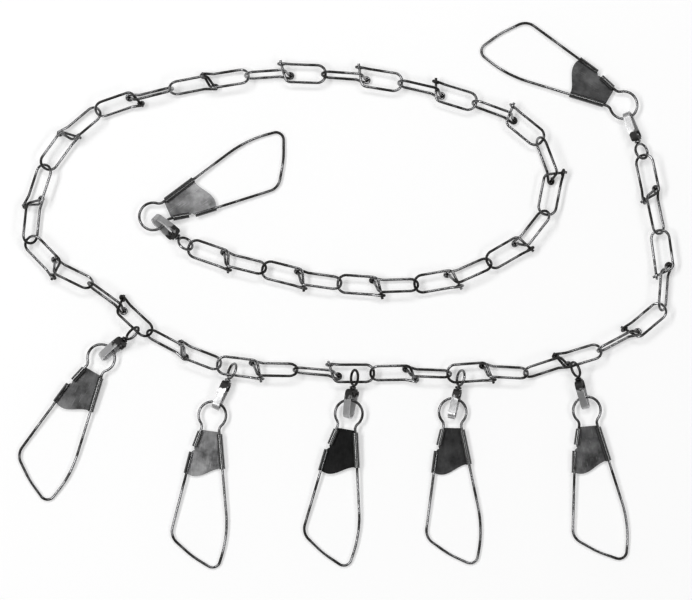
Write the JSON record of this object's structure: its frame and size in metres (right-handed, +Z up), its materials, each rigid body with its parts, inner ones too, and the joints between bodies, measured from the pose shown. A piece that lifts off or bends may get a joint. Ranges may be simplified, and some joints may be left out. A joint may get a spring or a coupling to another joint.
{
  "type": "fish stringer",
  "caption": "Chain fish stringer: bent wire links carry swivels, each holding a safety-pin snap whose sprung pin unhooks from a rolled keeper plate to string a fish by the jaw.",
  "frame": {"origin": "middle of the footprint, on the table", "axes": "+X to the right and +Y away as the stringer is seen from above, +Z up from the table"},
  "size_m": [0.393, 0.3278, 0.0154],
  "materials": {
    "chain": "bright plated",
    "swivel": "bright plated",
    "swivel_strap": "bright plated",
    "snap_wire": "bright plated",
    "keeper": "satin, dark plated"
  },
  "bodies": {
    "links_01": {"chain_links_01": "chain"},
    "links_02": {"chain_links_02": "chain"},
    "links_03": {"chain_links_03": "chain"},
    "links_04": {"chain_links_04": "chain"},
    "links_05": {"chain_links_05": "chain"},
    "links_06": {"chain_links_06": "chain"},
    "links_07": {"chain_links_07": "chain"},
    "links_08": {"chain_links_08": "chain"},
    "links_09": {"chain_links_09": "chain"},
    "links_10": {"chain_links_10": "chain"},
    "links_11": {"chain_links_11": "chain"},
    "links_12": {"chain_links_12": "chain"},
    "links_13": {"chain_links_13": "chain"},
    "links_14": {"chain_links_14": "chain"},
    "links_15": {"chain_links_15": "chain"},
    "links_16": {"chain_links_16": "chain"},
    "links_17": {"chain_links_17": "chain"},
    "links_18": {"chain_links_18": "chain"},
    "links_19": {"chain_links_19": "chain"},
    "links_20": {"chain_links_20": "chain"},
    "links_21": {"chain_links_21": "chain"},
    "links_22": {"chain_links_22": "chain"},
    "links_23": {"chain_links_23": "chain"},
    "links_24": {"chain_links_24": "chain"},
    "links_25": {"chain_links_25": "chain"},
    "eye_1": {"swivel_eye_1": "swivel"},
    "stirrup_1": {"swivel_stirrup_1": "swivel_strap"},
    "snap_1": {"snap_wire_1": "snap_wire", "snap_keeper_1": "keeper"},
    "pin_1": {"snap_pin_1": "snap_wire"},
    "eye_2": {"swivel_eye_2": "swivel"},
    "stirrup_2": {"swivel_stirrup_2": "swivel_strap"},
    "snap_2": {"snap_wire_2": "snap_wire", "snap_keeper_2": "keeper"},
    "pin_2": {"snap_pin_2": "snap_wire"},
    "eye_3": {"swivel_eye_3": "swivel"},
    "stirrup_3": {"swivel_stirrup_3": "swivel_strap"},
    "snap_3": {"snap_wire_3": "snap_wire", "snap_keeper_3": "keeper"},
    "pin_3": {"snap_pin_3": "snap_wire"},
    "eye_4": {"swivel_eye_4": "swivel"},
    "stirrup_4": {"swivel_stirrup_4": "swivel_strap"},
    "snap_4": {"snap_wire_4": "snap_wire", "snap_keeper_4": "keeper"},
    "pin_4": {"snap_pin_4": "snap_wire"},
    "eye_5": {"swivel_eye_5": "swivel"},
    "stirrup_5": {"swivel_stirrup_5": "swivel_strap"},
    "snap_5": {"snap_wire_5": "snap_wire", "snap_keeper_5": "keeper"},
    "pin_5": {"snap_pin_5": "snap_wire"},
    "eye_6": {"swivel_eye_6": "swivel"},
    "stirrup_6": {"swivel_stirrup_6": "swivel_strap"},
    "snap_6": {"snap_wire_6": "snap_wire", "snap_keeper_6": "keeper"},
    "pin_6": {"snap_pin_6": "snap_wire"},
    "eye_7": {"swivel_eye_7": "swivel"},
    "stirrup_7": {"swivel_stirrup_7": "swivel_strap"},
    "snap_7": {"snap_wire_7": "snap_wire", "snap_keeper_7": "keeper"},
    "pin_7": {"snap_pin_7": "snap_wire"}
  },
  "joints": [
    {"name": "chain_bend_12", "type": "hinge", "parent": "links_13", "child": "links_12", "pos_m": [-0.14939, 0.11002, 0.00765], "axis": [0.2566, -0.7451, -0.6157], "range_deg": [-60, 30]},
    {"name": "chain_bend_11", "type": "hinge", "parent": "links_12", "child": "links_11", "pos_m": [-0.10536, 0.12321, 0.00765], "axis": [-0.1277, 0.6568, 0.7431], "range_deg": [-30, 60]},
    {"name": "chain_bend_10", "type": "hinge", "parent": "links_11", "child": "links_10", "pos_m": [-0.0581, 0.13154, 0.00765], "axis": [0.1233, -0.7783, 0.6157], "range_deg": [-60, 60]},
    {"name": "chain_bend_09", "type": "hinge", "parent": "links_10", "child": "links_09", "pos_m": [-0.01216, 0.13215, 0.00765], "axis": [0.0346, 0.9897, -0.1392], "range_deg": [-60, 60]},
    {"name": "chain_bend_08", "type": "hinge", "parent": "links_09", "child": "links_08", "pos_m": [0.03349, 0.12683, 0.00765], "axis": [-0.1558, -0.9839, 0.0872], "range_deg": [-60, 60]},
    {"name": "chain_bend_07", "type": "hinge", "parent": "links_08", "child": "links_07", "pos_m": [0.07787, 0.1148, 0.00765], "axis": [0.2895, 0.947, -0.1392], "range_deg": [-60, 60]},
    {"name": "chain_bend_06", "type": "hinge", "parent": "links_07", "child": "links_06", "pos_m": [0.11717, 0.09212, 0.00765], "axis": [-0.6269, -0.7742, 0.0872], "range_deg": [-60, 60]},
    {"name": "chain_bend_05", "type": "hinge", "parent": "links_06", "child": "links_05", "pos_m": [0.11966, 0.04826, 0.00765], "axis": [0.9667, -0.1879, -0.1736], "range_deg": [-60, 60]},
    {"name": "chain_bend_04", "type": "hinge", "parent": "links_05", "child": "links_04", "pos_m": [0.08491, 0.01912, 0.00765], "axis": [-0.4891, 0.8471, 0.2079], "range_deg": [-60, 60]},
    {"name": "chain_bend_03", "type": "hinge", "parent": "links_04", "child": "links_03", "pos_m": [0.04113, 0.0061, 0.00765], "axis": [0.1677, -0.9513, -0.2588], "range_deg": [-60, 60]},
    {"name": "chain_bend_02", "type": "hinge", "parent": "links_03", "child": "links_02", "pos_m": [-0.00482, 0.00714, 0.00765], "axis": [0.0682, 0.9758, 0.2079], "range_deg": [-60, 60]},
    {"name": "chain_bend_01", "type": "hinge", "parent": "links_02", "child": "links_01", "pos_m": [-0.04988, 0.01608, 0.00765], "axis": [-0.2366, -0.9491, -0.2079], "range_deg": [-60, 60]},
    {"name": "chain_bend_13", "type": "hinge", "parent": "links_13", "child": "links_14", "pos_m": [-0.18017, 0.07615, 0.00765], "axis": [-0.7332, 0.5327, 0.4226], "range_deg": [-60, 30]},
    {"name": "chain_bend_14", "type": "hinge", "parent": "links_14", "child": "links_15", "pos_m": [-0.19014, 0.03396, 0.00765], "axis": [0.676, 0.6528, 0.342], "range_deg": [-60, 20]},
    {"name": "chain_bend_15", "type": "hinge", "parent": "links_15", "child": "links_16", "pos_m": [-0.1519, 0.00617, 0.00765], "axis": [-0.2933, -0.6014, 0.7431], "range_deg": [-60, 60]},
    {"name": "chain_bend_16", "type": "hinge", "parent": "links_16", "child": "links_17", "pos_m": [-0.11698, -0.02307, 0.00765], "axis": [0.5374, 0.5763, -0.6157], "range_deg": [-60, 60]},
    {"name": "chain_bend_17", "type": "hinge", "parent": "links_17", "child": "links_18", "pos_m": [-0.07693, -0.04131, 0.00765], "axis": [-0.1192, -0.9709, -0.2079], "range_deg": [-60, 60]},
    {"name": "chain_bend_18", "type": "hinge", "parent": "links_18", "child": "links_19", "pos_m": [-0.02911, -0.04465, 0.00765], "axis": [0.0117, 0.669, -0.7431], "range_deg": [-60, 30]},
    {"name": "chain_bend_19", "type": "hinge", "parent": "links_19", "child": "links_20", "pos_m": [0.0168, -0.04664, 0.00765], "axis": [0, -0.9511, 0.309], "range_deg": [-60, 60]},
    {"name": "chain_bend_20", "type": "hinge", "parent": "links_20", "child": "links_21", "pos_m": [0.06079, -0.04711, 0.00765], "axis": [-0.0687, 0.9824, 0.1736], "range_deg": [-60, 45]},
    {"name": "chain_bend_21", "type": "hinge", "parent": "links_21", "child": "links_22", "pos_m": [0.1087, -0.04669, 0.00765], "axis": [-0.03, -0.5728, 0.8192], "range_deg": [-30, 20]},
    {"name": "chain_bend_22", "type": "hinge", "parent": "links_22", "child": "links_23", "pos_m": [0.15253, -0.03252, 0.00765], "axis": [-0.2304, 0.7536, -0.6157], "range_deg": [-10, 60]},
    {"name": "chain_bend_23", "type": "hinge", "parent": "links_23", "child": "links_24", "pos_m": [0.19026, -0.00658, 0.00765], "axis": [0.5727, -0.6826, 0.454], "range_deg": [-60, 10]},
    {"name": "chain_bend_24", "type": "hinge", "parent": "links_24", "child": "links_25", "pos_m": [0.18743, 0.03883, 0.00765], "axis": [-0.9806, -0.1378, -0.1392], "range_deg": [-60, 60]},
    {"name": "eye_swing_1", "type": "hinge", "parent": "links_01", "child": "eye_1", "pos_m": [-0.09392, 0.02922, 0.00765], "axis": [0.3185, 0.9249, 0.2079], "range_deg": [-45, 45]},
    {"name": "swivel_spin_1", "type": "hinge", "parent": "eye_1", "child": "stirrup_1", "pos_m": [-0.10171, 0.03575, 0.00688], "axis": [-0.7638, 0.6409, -0.0757], "continuous": true},
    {"name": "snap_swing_1", "type": "hinge", "parent": "stirrup_1", "child": "snap_1", "pos_m": [-0.10911, 0.04196, 0.00601], "axis": [0.6428, 0.766, 0], "range_deg": [-10, 75]},
    {"name": "pin_open_1", "type": "hinge", "parent": "snap_1", "child": "pin_1", "pos_m": [-0.03729, 0.09108, 0.00209], "axis": [-0.316, 0.6333, -0.7064], "range_deg": [0, 16], "stiffness_Nm_per_rad": 0.12},
    {"name": "eye_swing_2", "type": "hinge", "parent": "links_16", "child": "eye_2", "pos_m": [-0.12537, -0.02107, 0.01097], "axis": [-0.7314, 0.682, 0], "range_deg": [-45, 45]},
    {"name": "swivel_spin_2", "type": "hinge", "parent": "eye_2", "child": "stirrup_2", "pos_m": [-0.13323, -0.02721, 0.00885], "axis": [-0.7708, -0.6022, -0.2082], "continuous": true},
    {"name": "snap_swing_2", "type": "hinge", "parent": "stirrup_2", "child": "snap_2", "pos_m": [-0.13995, -0.03246, 0.00618], "axis": [-0.6157, 0.788, 0], "range_deg": [-25, 75]},
    {"name": "pin_open_2", "type": "hinge", "parent": "snap_2", "child": "pin_2", "pos_m": [-0.18383, -0.11888, 0.0021], "axis": [0.6286, -0.3255, -0.7064], "range_deg": [0, 16], "stiffness_Nm_per_rad": 0.12},
    {"name": "eye_swing_3", "type": "hinge", "parent": "links_18", "child": "eye_3", "pos_m": [-0.06913, -0.04759, 0.00652], "axis": [-0.9925, 0.1219, 0], "range_deg": [-45, 45]},
    {"name": "swivel_spin_3", "type": "hinge", "parent": "eye_3", "child": "stirrup_3", "pos_m": [-0.07116, -0.05215, 0.00633], "axis": [-0.4064, -0.9128, -0.0391], "continuous": true},
    {"name": "snap_swing_3", "type": "hinge", "parent": "stirrup_3", "child": "snap_3", "pos_m": [-0.0766, -0.06435, 0.00496], "axis": [-0.9135, 0.4067, 0], "range_deg": [-25, 75]},
    {"name": "pin_open_3", "type": "hinge", "parent": "snap_3", "child": "pin_3", "pos_m": [-0.08415, -0.16135, 0.00205], "axis": [0.7034, -0.0756, -0.7067], "range_deg": [0, 16], "stiffness_Nm_per_rad": 0.12},
    {"name": "eye_swing_4", "type": "hinge", "parent": "links_19", "child": "eye_4", "pos_m": [0.0048, -0.05178, 0.00932], "axis": [-1, 0, 0], "range_deg": [-45, 45]},
    {"name": "swivel_spin_4", "type": "hinge", "parent": "eye_4", "child": "stirrup_4", "pos_m": [0.00404, -0.05663, 0.00842], "axis": [-0.1539, -0.9717, -0.1793], "continuous": true},
    {"name": "snap_swing_4", "type": "hinge", "parent": "stirrup_4", "child": "snap_4", "pos_m": [0.00307, -0.0627, 0.00642], "axis": [-0.9877, 0.1564, 0], "range_deg": [-25, 75]},
    {"name": "pin_open_4", "type": "hinge", "parent": "snap_4", "child": "pin_4", "pos_m": [-0.00553, -0.16004, 0.0021], "axis": [0.7023, -0.0891, -0.7063], "range_deg": [0, 16], "stiffness_Nm_per_rad": 0.12},
    {"name": "eye_swing_5", "type": "hinge", "parent": "links_21", "child": "eye_5", "pos_m": [0.06814, -0.05193, 0.00671], "axis": [-0.9976, -0.0698, 0], "range_deg": [-35, 45]},
    {"name": "swivel_spin_5", "type": "hinge", "parent": "eye_5", "child": "stirrup_5", "pos_m": [0.06702, -0.05679, 0.00647], "axis": [-0.2247, -0.9732, -0.0484], "continuous": true},
    {"name": "snap_swing_5", "type": "hinge", "parent": "stirrup_5", "child": "snap_5", "pos_m": [0.06583, -0.06195, 0.00408], "axis": [-0.9744, 0.225, 0], "range_deg": [-25, 75]},
    {"name": "pin_open_5", "type": "hinge", "parent": "snap_5", "child": "pin_5", "pos_m": [0.07071, -0.15931, 0.00202], "axis": [0.7073, 0.004, -0.7069], "range_deg": [0, 16], "stiffness_Nm_per_rad": 0.12},
    {"name": "eye_swing_6", "type": "hinge", "parent": "links_22", "child": "eye_6", "pos_m": [0.13656, -0.04185, 0.01097], "axis": [-0.9563, -0.2924, 0], "range_deg": [-15, 45]},
    {"name": "swivel_spin_6", "type": "hinge", "parent": "eye_6", "child": "stirrup_6", "pos_m": [0.13931, -0.05144, 0.00885], "axis": [0.2696, -0.9402, -0.2082], "continuous": true},
    {"name": "snap_swing_6", "type": "hinge", "parent": "stirrup_6", "child": "snap_6", "pos_m": [0.14204, -0.06099, 0.00556], "axis": [-0.9613, -0.2756, 0], "range_deg": [-25, 75]},
    {"name": "pin_open_6", "type": "hinge", "parent": "snap_6", "child": "pin_6", "pos_m": [0.16033, -0.15701, 0.00207], "axis": [0.702, 0.0891, -0.7066], "range_deg": [0, 16], "stiffness_Nm_per_rad": 0.12},
    {"name": "eye_swing_7", "type": "hinge", "parent": "links_25", "child": "eye_7", "pos_m": [0.17779, 0.08381, 0.00765], "axis": [0.8865, 0.1884, 0.4226], "range_deg": [-45, 45]},
    {"name": "swivel_spin_7", "type": "hinge", "parent": "eye_7", "child": "stirrup_7", "pos_m": [0.17415, 0.09331, 0.00688], "axis": [-0.3573, 0.9309, -0.0757], "continuous": true},
    {"name": "snap_swing_7", "type": "hinge", "parent": "stirrup_7", "child": "snap_7", "pos_m": [0.16919, 0.10622, 0.00543], "axis": [0.9336, 0.3584, 0], "range_deg": [-25, 75]},
    {"name": "pin_open_7", "type": "hinge", "parent": "snap_7", "child": "pin_7", "pos_m": [0.08486, 0.1513, 0.00207], "axis": [-0.3305, -0.6257, -0.7066], "range_deg": [0, 16], "stiffness_Nm_per_rad": 0.12}
  ]
}
